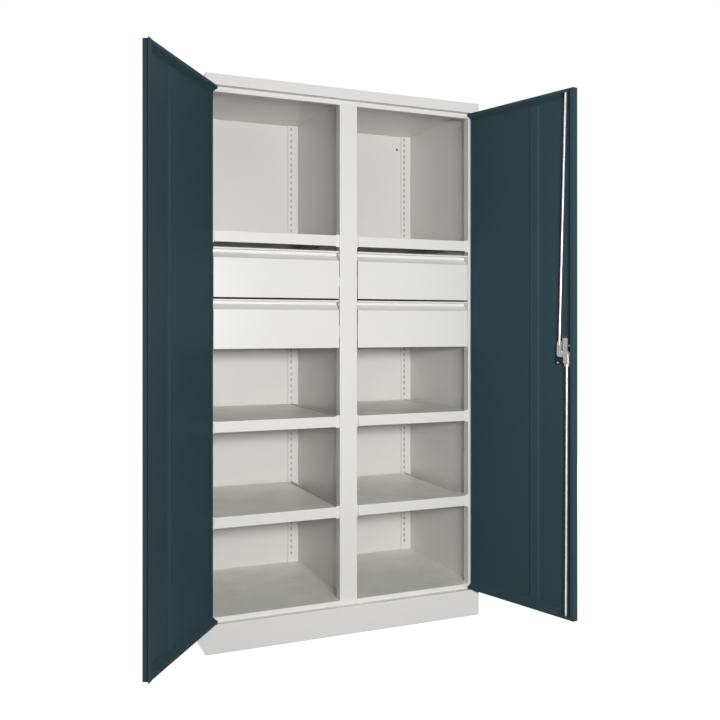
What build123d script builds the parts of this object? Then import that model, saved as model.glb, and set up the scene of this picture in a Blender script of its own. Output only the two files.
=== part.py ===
from build123d import *
import os
from math import cos, radians, sin

# A two-door steel storage cabinet, shown with both doors standing open.
# The origin is the middle of the footprint on the floor, +Z is up and the front looks along -Y.
# All lengths are in millimetres.

# Whole cabinet
cab_width = 1040.0
cab_depth = 630.0
cab_height = 1950.0

# Carcass sheet and its folds
carcass_sheet = 1.2
carcass_bend = 2.0
corner_fold = 6.5
rear_fold = 18.0
door_recess = 27.0

# Top of the cabinet
fascia_height = 37.0
head_upstand = 12.0
head_lip = 16.5
head_return = 20.0
ceiling_drop = 9.0

# Bottom of the cabinet
plinth_height = 98.0
plinth_return = 15.0
floor_lip = 16.5
floor_flange = 18.0
brace_width = 60.0
brace_sheet = 1.5
brace_bend = 2.2

# Posts and partition
side_post_width = 30.0
centre_post_width = 67.0
post_return = 36.5
partition_sheet = 1.2

# Slotted uprights in the rear corners
upright_width = 45.0
upright_depth = 7.0
slot_spacing = 25.0
slot_width = 6.0
slot_height = 12.0
slot_inset = 31.0
first_slot_height = 37.5

# Holes in the back panel for fixing the cabinet to a wall
wall_hole_radius = 4.0
wall_hole_inset = 64.0
wall_hole_drop = 68.0

# Shelves, each at the height of one slot
shelf_slots = {"upper": 51, "middle": 25, "lower": 12}
shelf_sheet = 1.2
shelf_bend = 2.0
shelf_lip = 38.5
shelf_hem = 12.0
shelf_flange = 25.0
shelf_end_gap = 9.25
shelf_shift = 4.5
shelf_setback = 1.0
shelf_rear_gap = 0.6

# Shelf rails, hung between the front posts and the uprights
rail_sheet = 1.5
rail_bend = 2.2
rail_stand = 3.0
rail_ledge = 22.0
rail_setback = 4.0
rail_end_gap = 0.5
rail_end_plate = 12.5
hook_width = 4.0
hook_height = 8.0
hook_depth = 5.0

# Drawer fronts
drawer_top_gap = 17.5
drawer_height = 171.0
drawer_gap = 6.0
drawer_end_gap = 2.5
drawer_setback = 1.0
drawer_sheet = 1.0
drawer_bend = 1.4
bead_height = 6.0
grip_strip = 9.5
grip_slope = 20.0
grip_depth = 27.0
drawer_sole = 45.0
drawer_top_return = 14.0

# Drawer boxes
box_sheet = 1.0
box_height = 157.0
box_depth = 555.0
box_side_gap = 13.0

# Drawer runners: a fixed channel on the carcass and a moving channel on the box
runner_sheet = 1.5
runner_bend = 2.2
runner_height = 40.0
runner_flange = 10.0
runner_gap = 0.3
runner_lift = 60.0
slide_start = 6.0
slide_length = 535.0

# Doors
left_open_angle = 124.1
right_open_angle = 106.0
door_sheet = 1.2
door_bend = 2.0
door_depth = 22.0
door_edge_gap = 7.5
door_middle_gap = 4.0
door_end_gap = 2.0
door_return = 6.0
door_lip = 15.0
door_hem = 11.0

# Door hinge pins
hinge_inset = 13.0
hinge_setback = 5.5
pin_radius = 4.0
pin_fit = 0.05
pin_length = 6.0
pin_chamfer = 0.6
collar_radius = 5.3
collar_gap = 0.3

# Stiffener inside each door
rib_sheet = 1.0
rib_bend = 1.6
rib_start = 285.0
rib_width = 64.0
rib_foot = 8.0
rib_draft = 6.0
rib_height = 3.5
rib_end_gap = 30.0

# Stop strip on the left door
strip_sheet = 1.5
strip_seat = 12.0
strip_lap = 11.0
strip_step = 0.8

# Lock in the right door: case, cam and rods
lock_edge_inset = 50.0
lock_height = 1005.0
case_width = 67.0
case_height = 74.0
case_depth = 10.0
case_corner = 5.0
case_offset = 1.5
spindle_radius = 4.0
spindle_fit = 0.05
spindle_clearance = 1.0
cam_gap = 0.2
cam_sheet = 2.8
cam_width = 20.0
cam_throw = 17.0
cam_boss_radius = 6.0
cam_boss_height = 5.0
cam_pin_radius = 3.0
cam_pin_fit = 0.05
cam_head_radius = 4.5
cam_head_height = 1.5
rod_radius = 4.0
rod_edge_inset = 38.0
rod_flat = 3.0
rod_flat_width = 19.0
rod_flat_length = 56.0
rod_flat_gap = 0.3
rod_lap = 12.0
rod_end_gap = 1.2
rod_chamfer = 1.0
rod_hole_length = 17.0
rod_hole_width = 8.8

# Turn grip on the outside of the right door
rosette_radius = 24.0
rosette_height = 4.0
rosette_fillet = 1.5
grip_gap = 0.3
grip_neck_radius = 12.0
grip_neck_height = 8.0
grip_length = 90.0
grip_width = 24.0
grip_height = 12.0
grip_fillet = 3.0
plug_radius = 8.0
plug_fit = 0.05
plug_depth = 12.0
plug_seat_gap = 0.3
keyway_length = 9.0
keyway_width = 2.0
keyway_depth = 6.0

# One overrun serves all cuts
cut_overrun = 1.0

# Levels and planes worked out from the sizes above
half_width = cab_width / 2
front_y = -cab_depth / 2
back_y = cab_depth / 2
recess_y = front_y + door_recess
ledge_y = recess_y + carcass_sheet
side_x = half_width - carcass_sheet
panel_x = half_width - carcass_bend
panel_y = back_y - 2 * carcass_sheet
floor_z = plinth_height + floor_lip
fascia_z = cab_height - fascia_height
head_z = fascia_z - head_lip
top_z = cab_height - carcass_sheet
ceiling_z = top_z - ceiling_drop
opening_x = half_width - side_post_width
post_x = centre_post_width / 2
upright_y = panel_y - upright_depth
first_slot_z = floor_z + first_slot_height
rail_y = recess_y + rail_setback
door_width = half_width - door_edge_gap - door_middle_gap / 2
door_low_z = plinth_height + door_end_gap
door_high_z = fascia_z - door_end_gap
compartments = {"left": (-opening_x, -post_x), "right": (post_x, opening_x)}

os.makedirs("parts", exist_ok=True)


def save(piece, label):
    """Label a finished piece and write it under the same name."""
    piece.part.label = label
    export_step(piece.part, f"parts/{label}.step")


def folded(points, sheet, bend, side):
    """Closed outline of a folded sheet, from the line of its outer face."""
    with BuildLine() as outline:
        FilletPolyline(*points, radius=bend)
        offset(amount=sheet, side=side)
    return outline.edges()


# Plinth front, with a ledge on top that carries the doors
plinth_line = [(front_y + plinth_return, 0), (front_y, 0)]
plinth_line += [(front_y, plinth_height), (ledge_y, plinth_height)]
rod_x = half_width - door_edge_gap - door_width + rod_edge_inset
rod_depth = door_sheet + case_depth + cam_gap + cam_sheet + rod_flat_gap + rod_flat / 2
rod_y = front_y + rod_depth
with BuildPart() as plinth_front:
    with BuildSketch(Plane.YZ.offset(-half_width)):
        make_face(folded(plinth_line, carcass_sheet, carcass_bend, Side.RIGHT))
    extrude(amount=cab_width)
    # The ends stop at the side panels behind the face
    with BuildSketch(Plane.XY):
        with Locations((0, front_y + carcass_sheet + cab_depth / 2)):
            with GridLocations(cab_width, 0, 2, 1):
                Rectangle(2 * carcass_sheet, cab_depth)
    extrude(amount=plinth_height, mode=Mode.SUBTRACT)
    # Slot that takes the lower lock rod
    with BuildSketch(Plane.XY.offset(plinth_height + cut_overrun)):
        with Locations((rod_x, rod_y)):
            SlotOverall(rod_hole_length, rod_hole_width)
    extrude(amount=-carcass_sheet - 2 * cut_overrun, mode=Mode.SUBTRACT)
save(plinth_front, "plinth_front")

# Floor panel: front lip, deck, rear flange and side flanges
floor_line = [(recess_y, plinth_height), (recess_y, floor_z)]
floor_line += [(panel_y, floor_z), (panel_y, floor_z - floor_flange)]
flange_length = panel_y - ledge_y - 2 * carcass_bend
with BuildPart() as floor_panel:
    with BuildSketch(Plane.YZ.offset(-side_x)):
        make_face(folded(floor_line, carcass_sheet, carcass_bend, Side.RIGHT))
    extrude(amount=2 * side_x)
    with BuildSketch(Plane.XY.offset(floor_z - floor_flange)):
        with Locations((0, (panel_y + ledge_y) / 2)):
            with GridLocations(2 * side_x - carcass_sheet, 0, 2, 1):
                Rectangle(carcass_sheet, flange_length)
    extrude(amount=floor_flange - carcass_sheet)
save(floor_panel, "floor_panel")

# Plinth brace: a channel under the partition, from the plinth's ledge to the floor's rear flange
brace_half = brace_width / 2
brace_z = floor_z - carcass_sheet
brace_line = [(-brace_half, brace_z), (-brace_half, 0), (brace_half, 0), (brace_half, brace_z)]
with BuildPart() as plinth_brace:
    with BuildSketch(Plane.XZ.offset(-recess_y - carcass_bend)):
        make_face(folded(brace_line, brace_sheet, brace_bend, Side.LEFT))
    extrude(amount=recess_y - panel_y + 2 * carcass_bend)
save(plinth_brace, "plinth_brace")

# Side panels: rear fold, wall, front corner fold, door recess and front post in one sheet
for name, hand, inside in (("left", -1, Side.LEFT), ("right", 1, Side.RIGHT)):
    wall_x = hand * half_width
    fold_x = hand * (half_width - corner_fold)
    rear_line = [(hand * (half_width - rear_fold), back_y), (wall_x, back_y)]
    corner_line = rear_line + [(wall_x, front_y), (fold_x, front_y)]
    wall_line = rear_line + [(wall_x, front_y + carcass_bend)]
    fold_line = corner_line + [(fold_x, recess_y - carcass_bend)]
    post_line = corner_line + [(fold_x, recess_y), (hand * opening_x, recess_y)]
    post_line += [(hand * opening_x, recess_y + post_return)]
    stages = [(wall_line, 0, plinth_height), (fold_line, plinth_height, floor_z)]
    stages += [(post_line, floor_z, head_z), (fold_line, head_z, fascia_z)]
    stages += [(wall_line, fascia_z, top_z)]
    with BuildPart() as side_panel:
        for line, low_z, high_z in stages:
            with BuildSketch(Plane.XY.offset(low_z)):
                make_face(folded(line, carcass_sheet, carcass_bend, inside))
            extrude(amount=high_z - low_z)
    save(side_panel, f"side_panel_{name}")

# Back panel with two wall fixing holes
with BuildPart() as back_panel:
    with BuildSketch(Plane.XZ.offset(-panel_y)):
        with Locations((0, top_z / 2)):
            Rectangle(2 * panel_x, top_z)
        with Locations((0, cab_height - wall_hole_drop)):
            with GridLocations(cab_width - 2 * wall_hole_inset, 0, 2, 1):
                Circle(wall_hole_radius, mode=Mode.SUBTRACT)
    extrude(amount=-carcass_sheet)
save(back_panel, "back_panel")

# Top panel with the fascia
top_line = [(back_y, cab_height), (front_y, cab_height), (front_y, fascia_z)]
with BuildPart() as top_panel:
    with BuildSketch(Plane.YZ.offset(-half_width)):
        make_face(folded(top_line, carcass_sheet, carcass_bend, Side.LEFT))
    extrude(amount=cab_width)
save(top_panel, "top_panel")

# Ceiling panel: a shallow channel under the top, from side to side
liner_y = front_y + carcass_bend
ceiling_line = [(liner_y, top_z), (liner_y, ceiling_z), (panel_y, ceiling_z), (panel_y, top_z)]
with BuildPart() as ceiling_panel:
    with BuildSketch(Plane.YZ.offset(-side_x)):
        make_face(folded(ceiling_line, carcass_sheet, carcass_bend, Side.LEFT))
    extrude(amount=2 * side_x)
save(ceiling_panel, "ceiling_panel")

# Head rail: upstand behind the fascia, ledge over the doors, strip over the opening
head_front_y = front_y + carcass_sheet
head_line = [(head_front_y, fascia_z + head_upstand), (head_front_y, fascia_z)]
head_line += [(recess_y, fascia_z), (recess_y, head_z), (recess_y + head_return, head_z)]
with BuildPart() as head_rail:
    with BuildSketch(Plane.YZ.offset(-side_x)):
        make_face(folded(head_line, carcass_sheet, carcass_bend, Side.LEFT))
    extrude(amount=2 * side_x)
    # Slot that takes the upper lock rod
    with BuildSketch(Plane.XY.offset(fascia_z - cut_overrun)):
        with Locations((rod_x, rod_y)):
            SlotOverall(rod_hole_length, rod_hole_width)
    extrude(amount=carcass_sheet + 2 * cut_overrun, mode=Mode.SUBTRACT)
save(head_rail, "head_rail")

# Centre post between the two openings
centre_line = [(-post_x, recess_y + post_return), (-post_x, recess_y)]
centre_line += [(post_x, recess_y), (post_x, recess_y + post_return)]
with BuildPart() as centre_post:
    with BuildSketch(Plane.XY.offset(floor_z)):
        make_face(folded(centre_line, carcass_sheet, carcass_bend, Side.LEFT))
    extrude(amount=head_z - floor_z)
save(centre_post, "centre_post")

# Partition, notched round the head rail
notch_y = recess_y + head_return
partition_outline = [(ledge_y, floor_z), (panel_y, floor_z), (panel_y, ceiling_z)]
partition_outline += [(notch_y, ceiling_z), (notch_y, head_z), (ledge_y, head_z)]
with BuildPart() as partition:
    with BuildSketch(Plane.YZ.offset(-partition_sheet / 2)):
        with BuildLine():
            Polyline(*partition_outline, close=True)
        make_face()
    extrude(amount=partition_sheet)
save(partition, "partition")

# Slotted uprights, one in each rear corner of each compartment
slot_count = int((ceiling_z - slot_height - first_slot_z) // slot_spacing) + 1
slot_mid_z = first_slot_z + slot_spacing * (slot_count - 1) / 2
corners = {"left_outer": (-side_x, 1), "left_inner": (-partition_sheet / 2, -1)}
corners.update({"right_inner": (partition_sheet / 2, 1), "right_outer": (side_x, -1)})
for name, (wall_x, hand) in corners.items():
    free_x = wall_x + hand * upright_width
    upright_line = [(wall_x, panel_y), (wall_x, upright_y), (free_x, upright_y), (free_x, panel_y)]
    slot_origin = (wall_x + hand * slot_inset, upright_y, slot_mid_z)
    with BuildPart() as upright:
        with BuildSketch(Plane.XY.offset(floor_z)):
            inside = Side.LEFT if hand > 0 else Side.RIGHT
            make_face(folded(upright_line, carcass_sheet, carcass_bend, inside))
        extrude(amount=ceiling_z - floor_z)
        with BuildSketch(Plane(slot_origin, x_dir=(1, 0, 0), z_dir=(0, -1, 0))):
            with GridLocations(0, slot_spacing, 1, slot_count):
                Rectangle(slot_width, slot_height)
        extrude(amount=-carcass_sheet - cut_overrun, mode=Mode.SUBTRACT)
    save(upright, f"upright_{name}")

# Shelves and the pair of rails that carries each of them
shelf_front_y = recess_y + shelf_setback
shelf_back_y = upright_y - shelf_rear_gap
shelf_mid_y = (shelf_front_y + shelf_back_y) / 2
shelf_side_length = shelf_back_y - shelf_front_y - 2 * shelf_sheet
for name, (low_x, high_x) in compartments.items():
    shelf_x = (low_x + high_x) / 2 - shelf_shift
    shelf_width = high_x - low_x - 2 * shelf_end_gap
    for level, slot in shelf_slots.items():
        deck_z = first_slot_z + slot * slot_spacing
        lip_z = deck_z - shelf_lip
        ledge_z = deck_z - shelf_flange
        shelf_line = [(shelf_front_y + shelf_hem, lip_z), (shelf_front_y, lip_z)]
        shelf_line += [(shelf_front_y, deck_z), (shelf_back_y, deck_z), (shelf_back_y, ledge_z)]
        with BuildPart() as shelf:
            with BuildSketch(Plane.YZ.offset(shelf_x - shelf_width / 2)):
                make_face(folded(shelf_line, shelf_sheet, shelf_bend, Side.RIGHT))
            extrude(amount=shelf_width)
            with BuildSketch(Plane.XY.offset(ledge_z)):
                with Locations((shelf_x, shelf_mid_y)):
                    with GridLocations(shelf_width - shelf_sheet, 0, 2, 1):
                        Rectangle(shelf_sheet, shelf_side_length)
            extrude(amount=shelf_flange - shelf_sheet)
        save(shelf, f"shelf_{name}_{level}")

        plate_low_z = lip_z - rail_stand
        plate_high_z = deck_z + rail_stand
        plate_z = (plate_low_z + plate_high_z) / 2
        plate_height = plate_high_z - plate_low_z
        with BuildPart() as rails:
            for post_face, hand, inside in ((low_x, -1, Side.LEFT), (high_x, 1, Side.RIGHT)):
                rail_line = [(post_face, plate_high_z), (post_face, ledge_z - rail_sheet)]
                rail_line += [(post_face - hand * rail_ledge, ledge_z - rail_sheet)]
                plate_width = shelf_end_gap + hand * shelf_shift - rail_end_gap
                hook_x = slot_inset + partition_sheet / 2
                if abs(post_face) == opening_x:
                    hook_x = side_x - slot_inset
                hook_x = hook_x if post_face > 0 else -hook_x
                # Web and ledge
                with BuildSketch(Plane.XZ.offset(-rail_y)):
                    make_face(folded(rail_line, rail_sheet, rail_bend, inside))
                extrude(amount=rail_y - upright_y)
                # Plate beside the shelf's lip
                with BuildSketch(Plane.XZ.offset(-rail_y)):
                    with Locations((post_face - hand * plate_width / 2, plate_z)):
                        Rectangle(plate_width, plate_height)
                extrude(amount=-rail_sheet)
                # Plate on the upright, with the hook that enters a slot
                with BuildSketch(Plane.XZ.offset(-upright_y)):
                    with Locations((post_face + hand * (rail_end_plate - plate_width) / 2, plate_z)):
                        Rectangle(rail_end_plate + plate_width, plate_height)
                extrude(amount=rail_sheet)
                with BuildSketch(Plane.XZ.offset(-upright_y)):
                    with Locations((hook_x, deck_z - slot_spacing)):
                        Rectangle(hook_width, hook_height)
                extrude(amount=-hook_depth)
        save(rails, f"shelf_rails_{name}_{level}")

# Drawers: front with a full-width grip channel, box, moving slides and fixed runners
drawer_y = recess_y + drawer_setback
box_y = drawer_y + grip_depth + drawer_sheet
stack_z = first_slot_z + shelf_slots["upper"] * slot_spacing - shelf_lip - drawer_top_gap
half_runner = runner_height / 2
half_slide = half_runner - runner_sheet - runner_gap
for name, (low_x, high_x) in compartments.items():
    drawer_x = (low_x + high_x) / 2
    front_width = high_x - low_x - 2 * drawer_end_gap
    box_width = high_x - low_x - 2 * box_side_gap
    for step, level in enumerate(("upper", "lower")):
        top_z = stack_z - step * (drawer_height + drawer_gap)
        sole_z = top_z - drawer_height
        bead_z = top_z - bead_height
        strip_z = bead_z - grip_strip
        face_z = strip_z - grip_slope
        grip_y = drawer_y + grip_depth
        front_line = [(drawer_y + drawer_sole, sole_z), (drawer_y, sole_z), (drawer_y, face_z)]
        front_line += [(grip_y, strip_z), (grip_y, bead_z), (drawer_y, bead_z), (drawer_y, top_z)]
        front_line += [(drawer_y + drawer_top_return, top_z)]
        with BuildPart() as drawer_front:
            with BuildSketch(Plane.YZ.offset(drawer_x - front_width / 2)):
                make_face(folded(front_line, drawer_sheet, drawer_bend, Side.RIGHT))
            extrude(amount=front_width)
        save(drawer_front, f"drawer_{name}_{level}_front")

        box_z = sole_z + drawer_sheet
        box_mid_y = box_y + box_depth / 2
        with BuildPart() as drawer_box:
            with BuildSketch(Plane.XY.offset(box_z)):
                with Locations((drawer_x, box_mid_y)):
                    Rectangle(box_width, box_depth)
            extrude(amount=box_height)
            lid = drawer_box.faces().sort_by(Axis.Z)[-1]
            offset(amount=-box_sheet, openings=lid)
        save(drawer_box, f"drawer_{name}_{level}_box")

        runner_z = sole_z + runner_lift
        top_run_z = runner_z + half_runner
        low_run_z = runner_z - half_runner
        with BuildPart() as slides:
            for post_face, hand, inside in ((low_x, -1, Side.RIGHT), (high_x, 1, Side.LEFT)):
                box_face = post_face - hand * box_side_gap
                slide_tip = post_face - hand * (runner_sheet + runner_gap)
                slide_line = [(slide_tip, runner_z + half_slide), (box_face, runner_z + half_slide)]
                slide_line += [(box_face, runner_z - half_slide), (slide_tip, runner_z - half_slide)]
                with BuildSketch(Plane.XZ.offset(-box_y - slide_start)):
                    make_face(folded(slide_line, runner_sheet, runner_bend, inside))
                extrude(amount=-slide_length)
        save(slides, f"drawer_{name}_{level}_slides")

        with BuildPart() as runners:
            for post_face, hand, inside in ((low_x, -1, Side.LEFT), (high_x, 1, Side.RIGHT)):
                flange_x = post_face - hand * runner_flange
                runner_line = [(flange_x, top_run_z), (post_face, top_run_z)]
                runner_line += [(post_face, low_run_z), (flange_x, low_run_z)]
                with BuildSketch(Plane.XZ.offset(-rail_y)):
                    make_face(folded(runner_line, runner_sheet, runner_bend, inside))
                extrude(amount=rail_y - upright_y)
                with BuildSketch(Plane.XZ.offset(-upright_y)):
                    with Locations((post_face + hand * (rail_end_plate - runner_sheet) / 2, runner_z)):
                        Rectangle(rail_end_plate + runner_sheet, runner_height)
                extrude(amount=runner_sheet)
        save(runners, f"runners_{name}_{level}")

# Door frames: origin at the hinge edge of the outer face, at floor level.
# On the left door local x runs from the hinge to the free edge, on the right door it runs back.
# Local y runs from the outer face to the inside.
pivot_x = half_width - door_edge_gap - hinge_inset
pivot_y = front_y + hinge_setback
left_dir = (cos(radians(left_open_angle)), -sin(radians(left_open_angle)), 0)
right_dir = (cos(radians(right_open_angle)), sin(radians(right_open_angle)), 0)
left_pivot = Plane((-pivot_x, pivot_y, 0), x_dir=left_dir, z_dir=(0, 0, 1))
right_pivot = Plane((pivot_x, pivot_y, 0), x_dir=right_dir, z_dir=(0, 0, 1))
left_origin = left_pivot.from_local_coords(Vector(-hinge_inset, -hinge_setback))
right_origin = right_pivot.from_local_coords(Vector(hinge_inset, -hinge_setback))
left_frame = Plane(left_origin, x_dir=left_dir, z_dir=(0, 0, 1))
right_frame = Plane(right_origin, x_dir=right_dir, z_dir=(0, 0, 1))
lock_x = door_width - lock_edge_inset
rod_place = door_width - rod_edge_inset

# Door pans and their stiffeners
for name, hand, frame in (("left", 1, left_frame), ("right", -1, right_frame)):
    inside = Side.LEFT if hand > 0 else Side.RIGHT
    lip_tip = door_width - door_lip
    pan_line = [(0, door_return), (0, 0), (hand * door_width, 0)]
    pan_line += [(hand * door_width, door_depth), (hand * lip_tip, door_depth)]
    with BuildPart() as door:
        # Skin, hinge return, free edge and lip
        with BuildSketch(frame.offset(door_low_z)):
            make_face(folded(pan_line, door_sheet, door_bend, inside))
        extrude(amount=door_high_z - door_low_z)
        # Bottom and top flanges
        for flange_z in (door_low_z, door_high_z - door_sheet):
            with BuildSketch(frame.offset(flange_z)) as flange:
                with Locations((hand * door_width / 2, door_depth / 2)):
                    Rectangle(door_width, door_depth)
                bends = flange.vertices().sort_by(lambda v: v.Y - hand * v.X)[:-1]
                fillet(bends, door_bend)
                with Locations((hand * hinge_inset, hinge_setback)):
                    Circle(pin_radius + pin_fit, mode=Mode.SUBTRACT)
            extrude(amount=door_sheet)
        # Hems along the inner edges of both flanges
        hem_length = lip_tip - door_bend
        for hem_z in (door_low_z, door_high_z - door_hem):
            with BuildSketch(frame.offset(hem_z)):
                with Locations((hand * hem_length / 2, door_depth - door_sheet / 2)):
                    Rectangle(hem_length, door_sheet)
            extrude(amount=door_hem)
        if name == "right":
            # Slots for the rods and the hole for the spindle
            for flange_z in (door_low_z, door_high_z - door_sheet):
                with BuildSketch(frame.offset(flange_z - cut_overrun)):
                    with Locations((hand * rod_place, rod_depth)):
                        SlotOverall(rod_hole_length, rod_hole_width)
                extrude(amount=door_sheet + 2 * cut_overrun, mode=Mode.SUBTRACT)
            hole_origin = frame.from_local_coords(Vector(hand * lock_x, -cut_overrun, lock_height))
            with BuildSketch(Plane(hole_origin, x_dir=frame.x_dir, z_dir=frame.y_dir)):
                Circle(spindle_radius + spindle_clearance)
            extrude(amount=door_sheet + 2 * cut_overrun, mode=Mode.SUBTRACT)
    save(door, f"door_{name}_panel")

    crown = door_sheet + rib_height - rib_sheet
    rib_end = rib_start + rib_width
    rib_points = [(rib_start, door_sheet), (rib_start + rib_foot, door_sheet)]
    rib_points += [(rib_start + rib_foot + rib_draft, crown), (rib_end - rib_foot - rib_draft, crown)]
    rib_points += [(rib_end - rib_foot, door_sheet), (rib_end, door_sheet)]
    rib_line = [(hand * x, y) for x, y in rib_points]
    with BuildPart() as rib:
        with BuildSketch(frame.offset(door_low_z + rib_end_gap)):
            make_face(folded(rib_line, rib_sheet, rib_bend, inside))
        extrude(amount=door_high_z - door_low_z - 2 * rib_end_gap)
    save(rib, f"door_{name}_stiffener")

# Stop strip on the left door, stepped clear of the right door's lip
seat_start = door_width - strip_seat
lap_start = door_width - strip_sheet
lap_end = door_width + strip_lap
strip_y = door_depth + strip_sheet / 2
with BuildPart() as stop_strip:
    with BuildSketch(left_frame.offset(door_low_z)):
        with Locations(((seat_start + door_width) / 2, strip_y)):
            Rectangle(strip_seat, strip_sheet)
        with Locations(((lap_start + lap_end) / 2, strip_y + strip_step)):
            Rectangle(lap_end - lap_start, strip_sheet)
    extrude(amount=door_high_z - door_low_z)
save(stop_strip, "door_left_stop_strip")

# Hinge pins: a collared stud on the plinth's ledge and one under the head rail for each door
for name, hand in (("left", -1), ("right", 1)):
    with BuildPart() as pins:
        for seat_z, way in ((plinth_height, 1), (fascia_z, -1)):
            seat = Plane((hand * pivot_x, pivot_y, seat_z), x_dir=(1, 0, 0), z_dir=(0, 0, way))
            with BuildSketch(seat):
                Circle(collar_radius)
            extrude(amount=door_end_gap - collar_gap)
            with BuildSketch(seat):
                Circle(pin_radius)
            extrude(amount=pin_length)
        middle_z = (plinth_height + fascia_z) / 2
        tips = pins.faces().filter_by(Axis.Z).sort_by(lambda f: abs(f.center().Z - middle_z))[:2]
        chamfer(tips.edges(), pin_chamfer)
    save(pins, f"hinge_pins_{name}")

# Lock plane: centred on the spindle at the outer face, looking out of the right door, y up
lock_origin = right_frame.from_local_coords(Vector(-lock_x, 0, lock_height))
lock_face = Plane(lock_origin, x_dir=right_frame.x_dir, z_dir=-right_frame.y_dir)
case_back = door_sheet + case_depth
cam_back = case_back + cam_gap + cam_sheet

# Lock case on the inside of the skin
with BuildPart() as lock_case:
    with BuildSketch(lock_face.offset(-door_sheet)):
        with Locations((case_offset, 0)):
            RectangleRounded(case_width, case_height, case_corner)
        Circle(spindle_radius + spindle_clearance, mode=Mode.SUBTRACT)
    extrude(amount=-case_depth)
save(lock_case, "lock_case")

# Cam with its boss and the two headed pins that carry the rods
pin_reach = rod_flat + 2 * rod_flat_gap
with BuildPart() as lock_cam:
    with BuildSketch(lock_face.offset(-case_back - cam_gap)):
        SlotCenterToCenter(2 * cam_throw, cam_width)
    extrude(amount=-cam_sheet)
    with BuildSketch(lock_face.offset(-cam_back)):
        Circle(cam_boss_radius)
    extrude(amount=-cam_boss_height)
    with BuildSketch(lock_face.offset(-cam_back)):
        with GridLocations(2 * cam_throw, 0, 2, 1):
            Circle(cam_pin_radius)
    extrude(amount=-pin_reach)
    with BuildSketch(lock_face.offset(-cam_back - pin_reach)):
        with GridLocations(2 * cam_throw, 0, 2, 1):
            Circle(cam_head_radius)
    extrude(amount=-cam_head_height)
    # Bore for the spindle
    with BuildSketch(lock_face.offset(-case_back)):
        Circle(spindle_radius + spindle_fit)
    extrude(amount=-cam_gap - cam_sheet, mode=Mode.SUBTRACT)
save(lock_cam, "lock_cam")

# Lock rods: a flattened end on the cam's pin, then a round rod to the end of the door
rod_layer = lock_face.offset(-rod_depth)
for name, pin_x, end_z in (
    ("upper", cam_throw, fascia_z - rod_end_gap),
    ("lower", -cam_throw, plinth_height + rod_end_gap),
):
    pin_point = rod_layer.from_local_coords(Vector(pin_x, 0))
    end_point = rod_layer.from_local_coords(Vector(lock_x - rod_place, end_z - lock_height))
    along = end_point - pin_point
    rod_plane = Plane(pin_point, x_dir=along, z_dir=lock_face.z_dir)
    flat_end = rod_flat_length - rod_flat_width / 2
    round_start = flat_end - rod_lap
    with BuildPart() as rod:
        with BuildSketch(rod_plane.offset(-rod_flat / 2)):
            with Locations((rod_flat_length / 2 - rod_flat_width / 2, 0)):
                SlotOverall(rod_flat_length, rod_flat_width)
        extrude(amount=rod_flat)
        rod_start = rod_plane.from_local_coords(Vector(round_start, 0))
        with BuildSketch(Plane(rod_start, x_dir=lock_face.z_dir, z_dir=along)):
            Circle(rod_radius)
        extrude(amount=along.length - round_start)
        tip = rod.faces().sort_by(lambda f: abs(f.center().Z - lock_height))[-1]
        chamfer(tip.edges(), rod_chamfer)
        with BuildSketch(rod_plane.offset(-rod_flat / 2)):
            Circle(cam_pin_radius + cam_pin_fit)
        extrude(amount=rod_flat, mode=Mode.SUBTRACT)
    save(rod, f"lock_rod_{name}")

# Rosette on the outer face
with BuildPart() as rosette:
    with BuildSketch(lock_face):
        Circle(rosette_radius)
    extrude(amount=rosette_height)
    rim = rosette.edges().filter_by(GeomType.CIRCLE).sort_by_distance(lock_face.offset(rosette_height).origin)
    fillet(rim[0], rosette_fillet)
    with BuildSketch(lock_face):
        Circle(spindle_radius + spindle_clearance)
    extrude(amount=rosette_height, mode=Mode.SUBTRACT)
save(rosette, "lock_rosette")

# Turn grip: spindle, neck and a bar with a bore for the lock plug
neck_seat = rosette_height + grip_gap
bar_seat = neck_seat + grip_neck_height
bar_top = bar_seat + grip_height
with BuildPart() as grip:
    with BuildSketch(lock_face.offset(bar_seat)):
        SlotOverall(grip_length, grip_width, rotation=90)
    extrude(amount=grip_height)
    fillet(grip.faces().sort_by_distance(lock_face.offset(cab_height).origin)[0].edges(), grip_fillet)
    with BuildSketch(lock_face.offset(neck_seat)):
        Circle(grip_neck_radius)
    extrude(amount=grip_neck_height)
    with BuildSketch(lock_face.offset(neck_seat)):
        Circle(spindle_radius)
    extrude(amount=-neck_seat - cam_back)
    with BuildSketch(lock_face.offset(bar_top)):
        Circle(plug_radius)
    extrude(amount=-plug_depth - plug_seat_gap, mode=Mode.SUBTRACT)
save(grip, "lock_grip")

# Lock plug with its keyway
with BuildPart() as plug:
    with BuildSketch(lock_face.offset(bar_top)):
        Circle(plug_radius - plug_fit)
    extrude(amount=-plug_depth)
    with BuildSketch(lock_face.offset(bar_top)):
        Rectangle(keyway_width, keyway_length)
    extrude(amount=-keyway_depth, mode=Mode.SUBTRACT)
save(plug, "lock_plug")
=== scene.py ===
# %% [markdown]
# # A steel storage cabinet, dressed in Blender
# The shapes of this cabinet were drawn in CAD: folded sheet-steel panels, two door pans, shelves, drawers
# and a lock with two rods. Blender could model them again, but then every fold would have to be matched
# twice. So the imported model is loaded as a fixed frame, and the lesson is about paint, plated steel,
# plastic, light and a few small pieces that are too fine for the CAD model.

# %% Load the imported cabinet
import math

import bmesh
import bpy
from mathutils import Matrix, Vector


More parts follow.
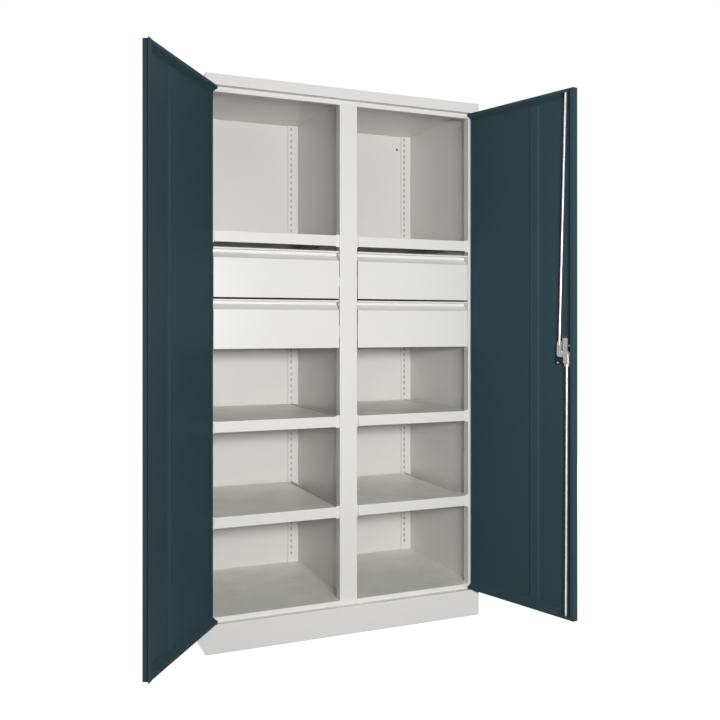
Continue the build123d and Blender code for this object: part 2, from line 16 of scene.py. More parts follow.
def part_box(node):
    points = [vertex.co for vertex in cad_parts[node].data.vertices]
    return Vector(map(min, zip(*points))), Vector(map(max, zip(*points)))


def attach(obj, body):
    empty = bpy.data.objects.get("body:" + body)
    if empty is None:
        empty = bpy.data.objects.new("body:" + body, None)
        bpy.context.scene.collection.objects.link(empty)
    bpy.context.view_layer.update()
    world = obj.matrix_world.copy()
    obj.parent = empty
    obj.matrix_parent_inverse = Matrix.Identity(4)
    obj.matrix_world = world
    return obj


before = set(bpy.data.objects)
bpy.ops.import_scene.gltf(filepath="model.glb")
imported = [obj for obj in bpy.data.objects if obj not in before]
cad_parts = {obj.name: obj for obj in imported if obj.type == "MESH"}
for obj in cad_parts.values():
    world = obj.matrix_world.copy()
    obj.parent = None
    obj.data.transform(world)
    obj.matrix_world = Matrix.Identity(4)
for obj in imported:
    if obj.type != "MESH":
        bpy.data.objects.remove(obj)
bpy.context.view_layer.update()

scene = bpy.context.scene

# %% [markdown]
# ## The camera
# A product photographer stands well back from a tall cabinet and keeps the camera level, so that upright
# edges stay upright. The frame is then slid over the cabinet with the lens shift, as with a view camera.
# The lens and the place come from measuring how the long edges of the cabinet run together.

# %% Place the camera
photo_lens_mm = 45.04
photo_place = (-1.1553, -3.333, 1.0973)
photo_turn_deg = (90.04, 0.01, -24.528)
photo_shift = (-0.0662, -0.0464)
sensor_width_mm = 36.0

camera_data = bpy.data.cameras.new("photo_camera")
camera_data.lens = photo_lens_mm
camera_data.sensor_width = sensor_width_mm
camera_data.sensor_fit = "HORIZONTAL"
camera_data.shift_x, camera_data.shift_y = photo_shift
camera = bpy.data.objects.new("photo_camera", camera_data)
camera.location = photo_place
camera.rotation_euler = [math.radians(angle) for angle in photo_turn_deg]
scene.collection.objects.link(camera)
scene.camera = camera
print("camera at", photo_place, "lens", photo_lens_mm, "mm")

# %% [markdown]
# ## Colours as they look on screen
# Paint colours are easiest to read off as screen values from 0 to 255, but shader sockets want linear
# light. One small helper does the usual screen-to-linear conversion, and every colour below goes through it.

# %% Screen colour to linear colour
def screen_colour(red, green, blue):
    """Linear RGBA for a colour given in screen values from 0 to 255."""
    linear = []
    for value in (red, green, blue):
        share = value / 255.0
        linear.append(share / 12.92 if share <= 0.04045 else ((share + 0.055) / 1.055) ** 2.4)
    return (*linear, 1.0)


scene.view_settings.view_transform = "Standard"
print("mid grey in linear light:", [round(v, 3) for v in screen_colour(128, 128, 128)])

# %% [markdown]
# ## Two small helpers for wiring nodes
# Shader trees are long to write out link by link. The first helper makes a node, sets its plain values and
# links its inputs in one line, so that a cell reads from left to right like the node editor does. The second
# begins a node group with its sockets.

# %% Node helpers
def add_node(tree, kind, links=None, values=None, **settings):
    """Add one shader node, set its properties, plain socket values and incoming links."""
    node = tree.nodes.new(kind)
    for key, value in settings.items():
        setattr(node, key, value)
    for socket, value in (values or {}).items():
        node.inputs[socket].default_value = value
    for socket, source in (links or {}).items():
        tree.links.new(source, node.inputs[socket])
    return node


def start_group(name, inputs, outputs):
    """Begin a shader node group with named sockets and return it with its two end nodes."""
    group = bpy.data.node_groups.new(name, "ShaderNodeTree")
    for label, kind, default in inputs:
        socket = group.interface.new_socket(label, in_out="INPUT", socket_type=kind)
        socket.default_value = default
    for label, kind in outputs:
        group.interface.new_socket(label, in_out="OUTPUT", socket_type=kind)
    return group, group.nodes.new("NodeGroupInput"), group.nodes.new("NodeGroupOutput")


print("node helpers ready")

# %% [markdown]
# ## Powder-coat grain
# Powder coat is sprayed on dry and melts in an oven, so it never flows out quite flat: it keeps a fine
# orange-peel skin, a slightly uneven gloss and a hint of cloudiness over large panels. All three could be
# painted by hand, but noise at three sizes gives them everywhere at once, and both paints of this cabinet
# can share one group.

# %% Build the powder-coat grain group
def build_coat_grain():
    group, start, end = start_group(
        "powder_coat_grain",
        [
            ("Colour", "NodeSocketColor", (0.5, 0.5, 0.5, 1.0)),
            ("Cloudiness", "NodeSocketFloat", 0.03),
            ("Gloss Low", "NodeSocketFloat", 0.38),
            ("Gloss High", "NodeSocketFloat", 0.46),
            ("Peel Size", "NodeSocketFloat", 420.0),
        ],
        [
            ("Colour", "NodeSocketColor"),
            ("Roughness", "NodeSocketFloat"),
            ("Height", "NodeSocketFloat"),
        ],
    )
    place = add_node(group, "ShaderNodeTexCoord").outputs["Object"]
    clouds = add_node(group, "ShaderNodeTexNoise", {"Vector": place}, {"Scale": 3.2, "Detail": 3.0})
    specks = add_node(group, "ShaderNodeTexNoise", {"Vector": place}, {"Scale": 900.0, "Detail": 1.0})
    peel = add_node(
        group, "ShaderNodeTexNoise", {"Vector": place, "Scale": start.outputs["Peel Size"]},
        {"Detail": 2.0, "Roughness": 0.45},
    )
    # Brightness swings a little around one, with the slow clouds and the fine specks together
    speck_weight = 0.3
    mixed = add_node(
        group, "ShaderNodeMath", {0: specks.outputs["Fac"], 2: clouds.outputs["Fac"]}, {1: speck_weight},
        operation="MULTIPLY_ADD",
    )
    middle_of_mix = 0.5 + 0.5 * speck_weight
    centred = add_node(
        group, "ShaderNodeMath", {0: mixed.outputs[0]}, {1: middle_of_mix}, operation="SUBTRACT",
    )
    swing = add_node(
        group, "ShaderNodeMath", {0: centred.outputs[0], 1: start.outputs["Cloudiness"]}, {2: 1.0},
        operation="MULTIPLY_ADD",
    )
    tinted = add_node(
        group, "ShaderNodeVectorMath", {0: start.outputs["Colour"], "Scale": swing.outputs[0]},
        operation="SCALE",
    )
    gloss = add_node(
        group, "ShaderNodeMapRange",
        {
            "Value": clouds.outputs["Fac"],
            "To Min": start.outputs["Gloss Low"],
            "To Max": start.outputs["Gloss High"],
        },
        {"From Min": 0.3, "From Max": 0.7},
    )
    group.links.new(tinted.outputs["Vector"], end.inputs["Colour"])
    group.links.new(gloss.outputs["Result"], end.inputs["Roughness"])
    group.links.new(peel.outputs["Fac"], end.inputs["Height"])
    return group


coat_grain = build_coat_grain()
print("group:", coat_grain.name, "with", len(coat_grain.nodes), "nodes")

# %% [markdown]
# ## Painted fold highlights, dust and painted top light
# The outer folds get a painted highlight: in broken patches they turn a little lighter, as bends do where
# they catch the light. Every face that looks up turns pale and a little warm, partly dust and partly painted
# light from above. Edge masks could be baked or painted; here the Bevel node finds the folds by comparing
# the rounded normal with the flat one, and the up-facing part of the normal finds the faces for dust and top
# light.

# %% Build the fold highlight, dust and top light group
fold_reach = 0.0016


def build_fold_highlight_dust_and_top_light():
    group, start, end = start_group(
        "fold_highlight_dust_and_top_light",
        [
            ("Colour", "NodeSocketColor", (0.5, 0.5, 0.5, 1.0)),
            ("Fold Highlight Colour", "NodeSocketColor", (0.8, 0.8, 0.8, 1.0)),
            ("Fold Highlight Amount", "NodeSocketFloat", 0.25),
            ("Dust And Top Light Colour", "NodeSocketColor", (0.95, 0.95, 0.86, 1.0)),
            ("Dust And Top Light Amount", "NodeSocketFloat", 0.1),
        ],
        [("Colour", "NodeSocketColor")],
    )
    facts = add_node(group, "ShaderNodeNewGeometry")
    place = add_node(group, "ShaderNodeTexCoord").outputs["Object"]
    rounded = add_node(group, "ShaderNodeBevel", values={"Radius": fold_reach}, samples=4)
    likeness = add_node(
        group, "ShaderNodeVectorMath", {0: rounded.outputs["Normal"], 1: facts.outputs["Normal"]},
        operation="DOT_PRODUCT",
    )
    fold = add_node(
        group, "ShaderNodeMapRange", {"Value": likeness.outputs["Value"]},
        {"From Min": 0.985, "From Max": 0.90, "To Min": 0.0, "To Max": 1.0},
    )
    patches = add_node(group, "ShaderNodeTexNoise", {"Vector": place}, {"Scale": 38.0, "Detail": 4.0})
    broken = add_node(
        group, "ShaderNodeMapRange", {"Value": patches.outputs["Fac"]}, {"From Min": 0.42, "From Max": 0.62},
    )
    # Painted highlight: the folds, broken into patches, are mixed towards a lighter colour
    fold_highlight = add_node(
        group, "ShaderNodeMath", {0: fold.outputs["Result"], 1: broken.outputs["Result"]},
        operation="MULTIPLY",
    )
    highlight_share = add_node(
        group, "ShaderNodeMath", {0: fold_highlight.outputs[0], 1: start.outputs["Fold Highlight Amount"]}, operation="MULTIPLY",
    )
    highlighted = add_node(
        group, "ShaderNodeMixRGB",
        {"Fac": highlight_share.outputs[0], "Color1": start.outputs["Colour"],
         "Color2": start.outputs["Fold Highlight Colour"]},
    )
    # Pale colour on up-facing faces: partly dust, partly painted light from above
    facing = add_node(group, "ShaderNodeSeparateXYZ", {"Vector": facts.outputs["Normal"]})
    lying = add_node(
        group, "ShaderNodeMapRange", {"Value": facing.outputs["Z"]}, {"From Min": 0.75, "From Max": 1.0},
    )
    drift = add_node(group, "ShaderNodeTexNoise", {"Vector": place}, {"Scale": 9.0, "Detail": 5.0})
    dust_and_top_light = add_node(
        group, "ShaderNodeMath", {0: lying.outputs["Result"], 1: drift.outputs["Fac"]}, operation="MULTIPLY",
    )
    dust_and_top_light_share = add_node(
        group, "ShaderNodeMath", {0: dust_and_top_light.outputs[0], 1: start.outputs["Dust And Top Light Amount"]}, operation="MULTIPLY",
    )
    dusted_and_top_lit = add_node(
        group, "ShaderNodeMixRGB",
        {"Fac": dust_and_top_light_share.outputs[0], "Color1": highlighted.outputs["Color"],
         "Color2": start.outputs["Dust And Top Light Colour"]},
    )
    group.links.new(dusted_and_top_lit.outputs["Color"], end.inputs["Colour"])
    return group


fold_highlight_dust_and_top_light = build_fold_highlight_dust_and_top_light()
print("group:", fold_highlight_dust_and_top_light.name, "with", len(fold_highlight_dust_and_top_light.nodes), "nodes")

# %% [markdown]
# ## The paints
# The carcass, shelves and drawers are sprayed in one light grey, the doors in a dark petrol blue. The
# stiffeners get a slightly lighter copy of the door blue, painted light for the way their raised crowns
# catch the lamp. All are the same kind of coating, so one function lays the grain, the painted fold
# highlight and the pale dust with painted top light on the Principled shader, and only the colours and the
# gloss differ.
# The doors are nearly matt. The Bump node turns the orange peel into a slope of a few hundredths of a
# millimetre.

# %% Mix the paints
peel_strength = 0.12
peel_depth = 0.00006


def powder_coat(name, colour, fold_highlight_colour, gloss, shine, cloudiness, fold_highlight, dust_and_top_light):
    material = bpy.data.materials.new(name)
    material.use_nodes = True
    tree = material.node_tree
    shader = tree.nodes["Principled BSDF"]
    grain = add_node(tree, "ShaderNodeGroup", node_tree=coat_grain)
    grain.inputs["Colour"].default_value = colour
    grain.inputs["Cloudiness"].default_value = cloudiness
    grain.inputs["Gloss Low"].default_value, grain.inputs["Gloss High"].default_value = gloss
    painted_light_and_dust = add_node(tree, "ShaderNodeGroup", node_tree=fold_highlight_dust_and_top_light)
    painted_light_and_dust.inputs["Fold Highlight Colour"].default_value = fold_highlight_colour
    painted_light_and_dust.inputs["Fold Highlight Amount"].default_value = fold_highlight
    painted_light_and_dust.inputs["Dust And Top Light Amount"].default_value = dust_and_top_light
    tree.links.new(grain.outputs["Colour"], painted_light_and_dust.inputs["Colour"])
    bump = add_node(
        tree, "ShaderNodeBump", {"Height": grain.outputs["Height"]},
        {"Strength": peel_strength, "Distance": peel_depth},
    )
    tree.links.new(painted_light_and_dust.outputs["Colour"], shader.inputs["Base Color"])
    tree.links.new(grain.outputs["Roughness"], shader.inputs["Roughness"])
    tree.links.new(bump.outputs["Normal"], shader.inputs["Normal"])
    shader.inputs["Specular IOR Level"].default_value = shine
    return material


# The second colour is the painted fold highlight; the dust amount also carries painted top light
carcass_paint = powder_coat(
    "carcass_powder_coat", screen_colour(216, 215, 212), screen_colour(234, 234, 232),
    gloss=(0.30, 0.38), shine=0.5, cloudiness=0.03, fold_highlight=0.35, dust_and_top_light=1.0,
)
blue_fold_highlight = screen_colour(84, 104, 112)
door_paint = powder_coat(
    "door_powder_coat", screen_colour(50, 70, 76), blue_fold_highlight,
    gloss=(0.44, 0.54), shine=0.02, cloudiness=0.10, fold_highlight=0.30, dust_and_top_light=0.02,
)
# A lighter copy of the door blue: painted light on the stiffener crowns
lit_stiffener_paint = powder_coat(
    "stiffener_powder_coat", screen_colour(52, 72, 78), blue_fold_highlight,
    gloss=(0.44, 0.54), shine=0.02, cloudiness=0.10, fold_highlight=0.10, dust_and_top_light=0.02,
)
print("paints:", carcass_paint.name, door_paint.name, lit_stiffener_paint.name)

# %% [markdown]
# ## Plated steel
# The lock rods, the cam and the hinge pins are bright zinc, the drawer runners a duller zinc. Zinc plate
# shows fine drawing lines along the wire and small crystalline patches. A Voronoi pattern would look too
# much like galvanised roofing, so one stretched noise and one plain noise are enough. The bright zinc has a
# milky film over it, and half a metal and half a paint on the Principled shader looks like that.

# %% Build the plated-steel group and its two finishes
def build_plate_marks():
    group, start, end = start_group(
        "zinc_plate_marks",
        [
            ("Colour", "NodeSocketColor", (0.7, 0.7, 0.72, 1.0)),
            ("Roughness", "NodeSocketFloat", 0.3),
        ],
        [("Colour", "NodeSocketColor"), ("Roughness", "NodeSocketFloat"), ("Height", "NodeSocketFloat")],
    )
    place = add_node(group, "ShaderNodeTexCoord").outputs["Object"]
    drawn = add_node(group, "ShaderNodeMapping", {"Vector": place}, {"Scale": (900.0, 900.0, 14.0)})
    lines = add_node(
        group, "ShaderNodeTexNoise", {"Vector": drawn.outputs["Vector"]}, {"Scale": 1.0, "Detail": 3.0},
    )
    bloom = add_node(group, "ShaderNodeTexNoise", {"Vector": place}, {"Scale": 60.0, "Detail": 4.0})
    shade = add_node(
        group, "ShaderNodeMapRange", {"Value": bloom.outputs["Fac"]},
        {"From Min": 0.25, "From Max": 0.75, "To Min": 0.86, "To Max": 1.04},
    )
    tinted = add_node(
        group, "ShaderNodeVectorMath", {0: start.outputs["Colour"], "Scale": shade.outputs["Result"]},
        operation="SCALE",
    )
    line_roughness = 0.14
    rough = add_node(
        group, "ShaderNodeMath", {0: lines.outputs["Fac"], 2: start.outputs["Roughness"]},
        {1: line_roughness}, operation="MULTIPLY_ADD",
    )
    group.links.new(tinted.outputs["Vector"], end.inputs["Colour"])
    group.links.new(rough.outputs[0], end.inputs["Roughness"])
    group.links.new(lines.outputs["Fac"], end.inputs["Height"])
    return group


plate_marks = build_plate_marks()


def plated_steel(name, colour, roughness, metal):
    material = bpy.data.materials.new(name)
    material.use_nodes = True
    tree = material.node_tree
    shader = tree.nodes["Principled BSDF"]
    marks = add_node(tree, "ShaderNodeGroup", node_tree=plate_marks)
    marks.inputs["Colour"].default_value = colour
    marks.inputs["Roughness"].default_value = roughness
    bump = add_node(
        tree, "ShaderNodeBump", {"Height": marks.outputs["Height"]}, {"Strength": 0.2, "Distance": 0.00005},
    )
    tree.links.new(marks.outputs["Colour"], shader.inputs["Base Color"])
    tree.links.new(marks.outputs["Roughness"], shader.inputs["Roughness"])
    tree.links.new(bump.outputs["Normal"], shader.inputs["Normal"])
    shader.inputs["Metallic"].default_value = metal
    return material


bright_zinc = plated_steel("bright_zinc_plate", screen_colour(214, 213, 214), roughness=0.24, metal=0.5)
runner_zinc = plated_steel("runner_zinc_plate", screen_colour(188, 190, 192), roughness=0.38, metal=1.0)
print("plated steels:", bright_zinc.name, runner_zinc.name)

# %% [markdown]
# ## Black moulded plastic
# The lock case and the turn grip are black nylon mouldings with a spark-eroded texture, like fine leather.
# It is a texture of the mould, so it belongs in the bump, and the sheen and the tone wander a little in soft
# patches.

# %% Mould the black plastic
def moulded_plastic(name, colour):
    material = bpy.data.materials.new(name)
    material.use_nodes = True
    tree = material.node_tree
    shader = tree.nodes["Principled BSDF"]
    place = add_node(tree, "ShaderNodeTexCoord").outputs["Object"]
    pebbles = add_node(tree, "ShaderNodeTexVoronoi", {"Vector": place}, {"Scale": 1400.0})
    haze = add_node(tree, "ShaderNodeTexNoise", {"Vector": place}, {"Scale": 70.0, "Detail": 3.0})
    dull = add_node(
        tree, "ShaderNodeMapRange", {"Value": haze.outputs["Fac"]},
        {"From Min": 0.3, "From Max": 0.7, "To Min": 0.42, "To Max": 0.56},
    )
    shade = add_node(
        tree, "ShaderNodeMapRange", {"Value": haze.outputs["Fac"]},
        {"From Min": 0.3, "From Max": 0.7, "To Min": 0.8, "To Max": 1.25},
    )
    tinted = add_node(
        tree, "ShaderNodeVectorMath", {"Scale": shade.outputs["Result"]}, {0: colour[:3]}, operation="SCALE",
    )
    bump = add_node(
        tree, "ShaderNodeBump", {"Height": pebbles.outputs["Distance"]},
        {"Strength": 0.25, "Distance": 0.00006},
    )
    tree.links.new(tinted.outputs["Vector"], shader.inputs["Base Color"])
    tree.links.new(dull.outputs["Result"], shader.inputs["Roughness"])
    tree.links.new(bump.outputs["Normal"], shader.inputs["Normal"])
    return material


black_plastic = moulded_plastic("black_moulded_plastic", screen_colour(16, 16, 18))
print("plastic:", black_plastic.name)

# %% [markdown]
# ## Dress the CAD pieces
# Every CAD piece keeps its shape and gets one finish, in the way the factory sorts them: pieces that are
# sprayed grey, pieces that are sprayed blue, plated pieces and mouldings. The names say which is which.

# %% Give every piece its finish
def finish_for(node_name):
    """The finish of a CAD piece, from its name."""
    if node_name.endswith("_stiffener"):
        return lit_stiffener_paint
    if node_name.startswith("door_"):
        return door_paint
    if node_name in ("lock_case", "lock_grip", "lock_rosette"):
        return black_plastic
    if node_name.startswith(("lock_", "hinge_")):
        return bright_zinc
    if node_name.startswith("runners_") or node_name.endswith("_slides"):
        return runner_zinc
    return carcass_paint


dressed = {}
for node_name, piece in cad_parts.items():
    finish = finish_for(node_name)
    piece.data.materials.clear()
    piece.data.materials.append(finish)
    dressed[finish.name] = dressed.get(finish.name, 0) + 1
print("dressed pieces:", dressed)

# %% [markdown]
# ## Painted shade behind the slots
# The shelf rails hook into slotted uprights. The hollow behind each slot lies in shade, and a strip of
# darker sheet inside each upright paints that shade in. The back panel could be painted dark there with a
# mask, but a strip inside each upright looks right from every side. It is a channel bent from thin sheet:
# one open section, drawn up along the upright and thickened by the Solidify modifier. Three helpers hand a
# piece over, draw a section from end to end and thicken it, because more bent pieces follow.

# %% Line the uprights
# A darker steel that paints the shade of the hollow behind the slots
shade_strip_steel = plated_steel("painted_slot_shade", screen_colour(180, 180, 179), roughness=0.5, metal=1.0)
slot_from_wall = 0.031
strip_half_width = 0.009
strip_flange = 0.0025
strip_sheet = 0.0004
strip_from_front = 0.0064
strip_end_gap = 0.002
wall_side = {"left_outer": 1, "left_inner": -1, "right_inner": 1, "right_outer": -1}


def finish_piece(mesh, name, material, body):
    """Turn a bmesh into an object of the cabinet that rides on a body."""
    data = bpy.data.meshes.new(name)
    mesh.to_mesh(data)
    mesh.free()
    data.materials.append(material)
    piece = bpy.data.objects.new(name, data)
    scene.collection.objects.link(piece)
    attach(piece, body)
    return piece


def draw_between(mesh, start, end):
    """Add the sheet between the two ends of an open section, given as lists of places."""
    first = [mesh.verts.new(place) for place in start]
    last = [mesh.verts.new(place) for place in end]
    for i in range(len(first) - 1):
        mesh.faces.new((first[i], first[i + 1], last[i + 1], last[i]))


def thicken(piece, thickness):
    """Give a bent sheet its thickness, half to each side."""
    sheet = piece.modifiers.new("sheet", "SOLIDIFY")
    sheet.thickness = thickness
    sheet.offset = 0.0


def line_upright(corner, hand):
    """A channel of darker sheet behind the slots of one upright, painted shade for the hollow behind them.
    """
    low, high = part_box("upright_" + corner)
    wall_x = low[0] if hand > 0 else high[0]
    middle_x = wall_x + hand * slot_from_wall
    base_y = low[1] + strip_from_front
    section = [
        (middle_x - strip_half_width, base_y - strip_flange), (middle_x - strip_half_width, base_y),
        (middle_x + strip_half_width, base_y), (middle_x + strip_half_width, base_y - strip_flange),
    ]
    foot_z, head_z = low[2] + strip_end_gap, high[2] - strip_end_gap
    mesh = bmesh.new()
    draw_between(mesh, [(x, y, foot_z) for x, y in section], [(x, y, head_z) for x, y in section])
    return finish_piece(mesh, "slot_shade_strip_" + corner, shade_strip_steel, "carcass")


for corner, hand in wall_side.items():
    strip = line_upright(corner, hand)
    thicken(strip, strip_sheet)
    print("strip:", strip.name)

# %% [markdown]
# ## Places on the open doors
# Both doors stand open at their own angle. For pieces on a door it is easiest to think in the door's own
# directions: along from the hinge edge, inward from the outer face, and up. A matrix with those three
# directions as its columns places anything that is modelled lying flat.

# %% Door directions
left_turn, right_turn = math.radians(124.1), math.radians(106.0)
left_pin, right_pin = Vector((-0.4995, -0.3095, 0.0)), Vector((0.4995, -0.3095, 0.0))
left_run = Vector((math.cos(left_turn), -math.sin(left_turn), 0.0))
right_run = Vector((-math.cos(right_turn), -math.sin(right_turn), 0.0))
door_hinges = {"left": (left_pin, left_run, 1), "right": (right_pin, right_run, -1)}
pin_from_edge = 0.013
pin_from_face = 0.0055
upward = Vector((0.0, 0.0, 1.0))


def door_place(side, along, inward, height):
    """Matrix of a spot on a door: its y points up and its z out of the inner face."""
    pin, run, hand = door_hinges[side]
    face = hand * upward.cross(run)
    place = Matrix((upward.cross(face), upward, face)).transposed().to_4x4()
    on_plan = pin + (along - pin_from_edge) * run + (inward - pin_from_face) * face
    place.translation = on_plan + height * upward
    return place


for side, (pin, run, hand) in door_hinges.items():
    print(side, "door: pin at", tuple(pin), "and skin along", tuple(run))

# %% [markdown]
# ## Folded returns at the door ends
# At the top and bottom of a door the edge is folded three times: the flange, a short hem and a slanting
# return that goes back to the skin and closes the edge to a stiff little box. The return is thin trim, so it
# is made here: an open section with a small foot on the skin, drawn along the door and thickened. On the
# right door it stops short of the lock rods, which need the pocket.

# %% Fold the returns
hem_inner_face = 0.0203
skin_inner_face = 0.0018
hem_overlap = 0.004
return_rise = 0.014
return_foot = 0.004
return_sheet = 0.0008
hem_edges = ((0.111, 1.0), (1.900, -1.0))
return_spans = {"left": (0.004, 0.500), "right": (0.004, 0.440)}


def fold_returns(side):
    """The slanting returns along the top and bottom hem of one door."""
    mesh = bmesh.new()
    for hem_edge, away in hem_edges:
        section = [
            (hem_inner_face, hem_edge - away * hem_overlap), (hem_inner_face, hem_edge),
            (skin_inner_face, hem_edge + away * return_rise),
            (skin_inner_face, hem_edge + away * (return_rise + return_foot)),
        ]
        start, end = [
            [door_place(side, along, *spot).translation for spot in section] for along in return_spans[side]
        ]
        draw_between(mesh, start, end)
    return finish_piece(mesh, "edge_returns_" + side, door_paint, side + "_door")


for side in door_hinges:
    returns = fold_returns(side)
    thicken(returns, return_sheet)
    print("returns:", returns.name)

# %% [markdown]
# ## Screws in the lock case
# Four small pan-head screws hold the black lock case. A head is turned from a profile like on a lathe, and
# its cross recess is pressed in: points that lie under a plus sign go down. Booleans could cut the cross,
# but on a head of seven millimetres pressed points are enough and keep the mesh clean.

# %% Turn the screws
def turn_profile(mesh, place, profile, segments, press=None):
    """Add a form turned from (radius, height) points, from its middle outwards."""
    rings = []
    for radius, height in profile:
        ring = []
        for i in range(segments if radius > 0.0 else 1):
            angle = math.tau * i / segments
            x, y = radius * math.cos(angle), radius * math.sin(angle)
            sunk = press(x, y) if press else 0.0
            ring.append(mesh.verts.new(place @ Vector((x, y, height - sunk))))
        rings.append(ring)
    for inner, outer in zip(rings, rings[1:]):
        for i in range(segments):
            j = (i + 1) % segments
            if len(inner) == 1:
                mesh.faces.new((inner[0], outer[i], outer[j]))
            else:
                mesh.faces.new((inner[i], outer[i], outer[j], inner[j]))


head_radius = 0.0034
head_height = 0.0019
head_segments = 48
dome_steps = 12
dome_fall = 0.22
rim_share = 0.62
cross_reach = 0.0019
cross_half_width = 0.00042
cross_depth = 0.0009
case_screw_reach = (0.0255, 0.0300)
case_half_depth = 0.005


def pressed_cross(x, y):
    """How far a point of the head is pressed down by the cross recess."""
    short, far = sorted((abs(x), abs(y)))
    return cross_depth if short < cross_half_width and far < cross_reach else 0.0


dome = []
for i in range(dome_steps):
    share = i / dome_steps
    dome.append((head_radius * share, head_height * (1.0 - dome_fall * share ** 2)))
dome += [(head_radius, head_height * rim_share), (head_radius, 0.0)]
case_low, case_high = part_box("lock_case")
case_middle = (Vector(case_low) + Vector(case_high)) / 2
screws = bmesh.new()
for across in (-1, 1):
    for up in (-1, 1):
        seat = door_place("right", 0.0, 0.0, 0.0)
        from_middle = Vector((across * case_screw_reach[0], up * case_screw_reach[1], case_half_depth))
        seat.translation = case_middle + seat.to_3x3() @ from_middle
        turn_profile(screws, seat, dome, head_segments, pressed_cross)
case_screws = finish_piece(screws, "lock_case_screws", bright_zinc, "right_door")
print("screws:", case_screws.name, len(case_screws.data.polygons), "faces")

# %% [markdown]
# ## Caps in the wall holes
# Two holes near the top of the back panel take the bolts that hold the cabinet to a wall. Where it stands
# free they are closed with black plastic caps, which show as dark dots. A cap is a low dome turned from a
# profile, with the function that turned the screws, and it faces the front.

# %% Press in the caps
cap_profile = [(0.0, 0.0011), (0.0018, 0.0010), (0.0034, 0.0007), (0.0043, 0.0003), (0.0046, 0.0)]
cap_segments = 28
wall_hole_reach = 0.456
wall_hole_height = 1.882
panel_front = 0.3126
facing_front = Matrix(((1.0, 0.0, 0.0), (0.0, 0.0, -1.0), (0.0, 1.0, 0.0))).to_4x4()
caps = bmesh.new()
for across in (-wall_hole_reach, wall_hole_reach):
    cap_place = Matrix.Translation((across, panel_front, wall_hole_height)) @ facing_front
    turn_profile(caps, cap_place, cap_profile, cap_segments)
wall_caps = finish_piece(caps, "wall_hole_caps", black_plastic, "carcass")
print("caps:", wall_caps.name, len(wall_caps.data.polygons), "faces")

# %% [markdown]
# ## The strap on the lower rod
# Beside the upper rod a short flat bar stands up behind the lock. It belongs to the lower rod: its strap is
# cranked over the pin and runs on upwards, so that the two rods steady each other when the lock turns. It is
# bent from flat bar, so an open section is drawn across the strap's width and thickened, and it rides on the
# lower rod to follow it.

# %% Bend the strap
strap_along = 0.4735
strap_half_width = 0.010
strap_thickness = 0.002
strap_path = ((0.0186, 0.974), (0.0186, 0.991), (0.0212, 0.997), (0.0212, 1.060))
strap_edges = (strap_along - strap_half_width, strap_along + strap_half_width)
strap_start, strap_end = [
    [door_place("right", along, *spot).translation for spot in strap_path] for along in strap_edges
]
strap_mesh = bmesh.new()
draw_between(strap_mesh, strap_start, strap_end)
rod_strap = finish_piece(strap_mesh, "lower_rod_strap", bright_zinc, "rod_lower")
thicken(rod_strap, strap_thickness)
print("strap:", rod_strap.name)

# %% [markdown]
# ## Spot welds on the stiffeners
# The stiffeners are spot-welded to the door skins through their narrow feet, and under the paint each weld
# shows as a shallow ring. A bump map would do from afar. Rings in the mesh keep their shape in close views,
# and they are turned from a profile with the same function as the screws.

# %% Mark the welds
weld_ring = [(0.0, 0.00005), (0.0015, 0.00005), (0.0022, 0.00024), (0.0029, -0.00005)]
foot_middles = (0.289, 0.345)
foot_face = 0.0022
weld_segments = 20
first_weld, last_weld, weld_count = 0.160, 1.850, 13
for side in door_hinges:
    welds = bmesh.new()
    for along in foot_middles:
        for i in range(weld_count):
            height = first_weld + (last_weld - first_weld) * i / (weld_count - 1)
            turn_profile(welds, door_place(side, along, foot_face, height), weld_ring, weld_segments)
    marks = finish_piece(welds, "weld_marks_" + side, lit_stiffener_paint, side + "_door")
    print("weld marks:", marks.name, len(marks.data.polygons), "faces")

# %% [markdown]
# ## Floor and background
# The cabinet stands in a white studio. The floor could be a curved sweep, but one large plane is enough
# when the world is white for the camera as well: Light Path tells the shader that a camera ray arrived, and
# strength one is exactly white. Shiny pieces see the same white, so their reflections agree with it. The
# floor is a little darker near the cabinet, where its own paint still catches the shadow, and glows up to
# full white further out.

# %% Lay the floor
floor_reach = 9.0
floor_mesh = bpy.data.meshes.new("studio_floor")
corners = [(-1, -1), (1, -1), (1, 1), (-1, 1)]
floor_mesh.from_pydata([(x * floor_reach, y * floor_reach, 0.0) for x, y in corners], [], [(0, 1, 2, 3)])
studio_floor = bpy.data.objects.new("studio_floor", floor_mesh)
scene.collection.objects.link(studio_floor)

floor_paint = bpy.data.materials.new("studio_floor_paint")
floor_paint.use_nodes = True
floor_tree = floor_paint.node_tree
floor_shader = floor_tree.nodes["Principled BSDF"]
floor_shader.inputs["Base Color"].default_value = screen_colour(80, 80, 80)
floor_shader.inputs["Roughness"].default_value = 0.9
floor_shader.inputs["Specular IOR Level"].default_value = 0.1
shadow_paint = add_node(floor_tree, "ShaderNodeBsdfDiffuse", values={"Color": screen_colour(130, 130, 130)})
floor_place = add_node(floor_tree, "ShaderNodeTexCoord").outputs["Object"]
floor_distance = add_node(floor_tree, "ShaderNodeVectorMath", {0: floor_place}, operation="LENGTH")
glow_strength = add_node(
    floor_tree, "ShaderNodeMapRange", {"Value": floor_distance.outputs["Value"]},
    {"From Min": 1.4, "From Max": 2.8, "To Min": 0.91, "To Max": 1.0},
)
card_glow = add_node(floor_tree, "ShaderNodeEmission", {"Strength": glow_strength.outputs["Result"]})
white_floor = add_node(
    floor_tree, "ShaderNodeAddShader", {0: shadow_paint.outputs[0], 1: card_glow.outputs[0]},
)
floor_ray = add_node(floor_tree, "ShaderNodeLightPath")
floor_seen = add_node(
    floor_tree, "ShaderNodeMath",
    {0: floor_ray.outputs["Is Camera Ray"], 1: floor_ray.outputs["Is Glossy Ray"]}, operation="MAXIMUM",
)
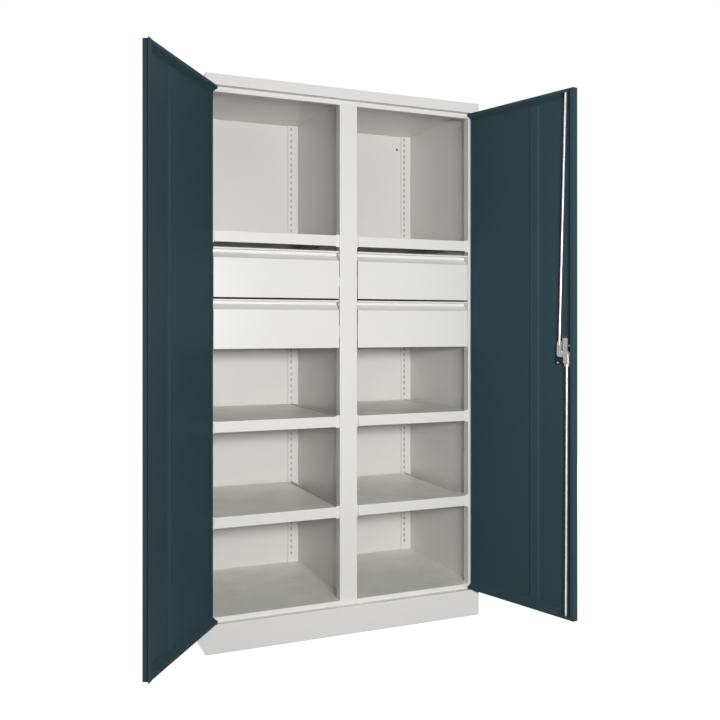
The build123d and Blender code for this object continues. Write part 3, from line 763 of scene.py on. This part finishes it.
floor_seen_through = add_node(
    floor_tree, "ShaderNodeMath",
    {0: floor_seen.outputs[0], 1: floor_ray.outputs["Is Transmission Ray"]}, operation="MAXIMUM",
)
floor_mix = add_node(
    floor_tree, "ShaderNodeMixShader",
    {0: floor_seen_through.outputs[0], 1: floor_shader.outputs[0], 2: white_floor.outputs[0]},
)
floor_tree.links.new(floor_mix.outputs[0], floor_tree.nodes["Material Output"].inputs["Surface"])
studio_floor.data.materials.append(floor_paint)
print("floor:", 2 * floor_reach, "m wide")

# %% [markdown]
# ## The white room
# Around the cabinet the room gives a weak, even light, as white walls do. The camera and the shiny pieces
# see a white card instead of the dim room, chosen by Light Path in the same way as on the floor.

# %% Whiten the world
world = bpy.data.worlds.new("white_studio")
world.use_nodes = True
scene.world = world
sky = world.node_tree
room_light = sky.nodes["Background"]
pure_white = (1.0, 1.0, 1.0, 1.0)
room_light.inputs["Color"].default_value = pure_white
room_light.inputs["Strength"].default_value = 0.20
white_card = add_node(sky, "ShaderNodeBackground", values={"Color": pure_white, "Strength": 1.0})
ray = add_node(sky, "ShaderNodeLightPath")
seen = add_node(
    sky, "ShaderNodeMath", {0: ray.outputs["Is Camera Ray"], 1: ray.outputs["Is Glossy Ray"]},
    operation="MAXIMUM",
)
seen_through = add_node(
    sky, "ShaderNodeMath", {0: seen.outputs[0], 1: ray.outputs["Is Transmission Ray"]}, operation="MAXIMUM",
)
chosen = add_node(
    sky, "ShaderNodeMixShader",
    {0: seen_through.outputs[0], 1: room_light.outputs[0], 2: white_card.outputs[0]},
)
sky.links.new(chosen.outputs[0], sky.nodes["World Output"].inputs["Surface"])
print("room light:", room_light.inputs["Strength"].default_value)

# %% [markdown]
# ## Soft light
# In the photograph the fronts are the brightest faces, decks and ceilings are equally grey and the walls
# inside a little darker: the light is a wide soft box in front of the cabinet, a little above its middle. An
# area lamp does that, and its size sets how soft the shadows under the shelves are. Two boxes at the sides
# and one above light the faces that look away from the front. They are kept out of reflections, so that
# they don't add a sheen to the doors.

# %% Hang the soft boxes
def soft_box(name, place, aim, size, power):
    lamp_data = bpy.data.lights.new(name, "AREA")
    lamp_data.shape = "RECTANGLE"
    lamp_data.size, lamp_data.size_y = size
    lamp_data.energy = power
    lamp = bpy.data.objects.new(name, lamp_data)
    lamp.location = place
    lamp.rotation_euler = (Vector(aim) - Vector(place)).to_track_quat("-Z", "Y").to_euler()
    scene.collection.objects.link(lamp)
    return lamp


side_size = (2.2, 2.2)
side_power = 105.0
front_box = soft_box(
    "front_soft_box", place=(-0.58, -3.64, 1.27), aim=(2.5, 0.0, 0.95), size=(1.2, 0.32), power=129.0,
)
rear_left_box = soft_box("rear_left_soft_box", (-3.6, 1.8, 1.6), (-0.4, 0.2, 1.0), side_size, side_power)
rear_right_box = soft_box("rear_right_soft_box", (3.6, 1.8, 1.6), (0.4, 0.2, 1.0), side_size, side_power)
top_box = soft_box(
    "top_soft_box", place=(0.0, 1.4, 3.6), aim=(0.0, 0.1, 1.95), size=(2.0, 2.0), power=28.0,
)
for lamp in (rear_left_box, rear_right_box, top_box):
    lamp.visible_glossy = False
for lamp in (front_box, rear_left_box, rear_right_box, top_box):
    print("lamp:", lamp.name, lamp.data.energy, "W")
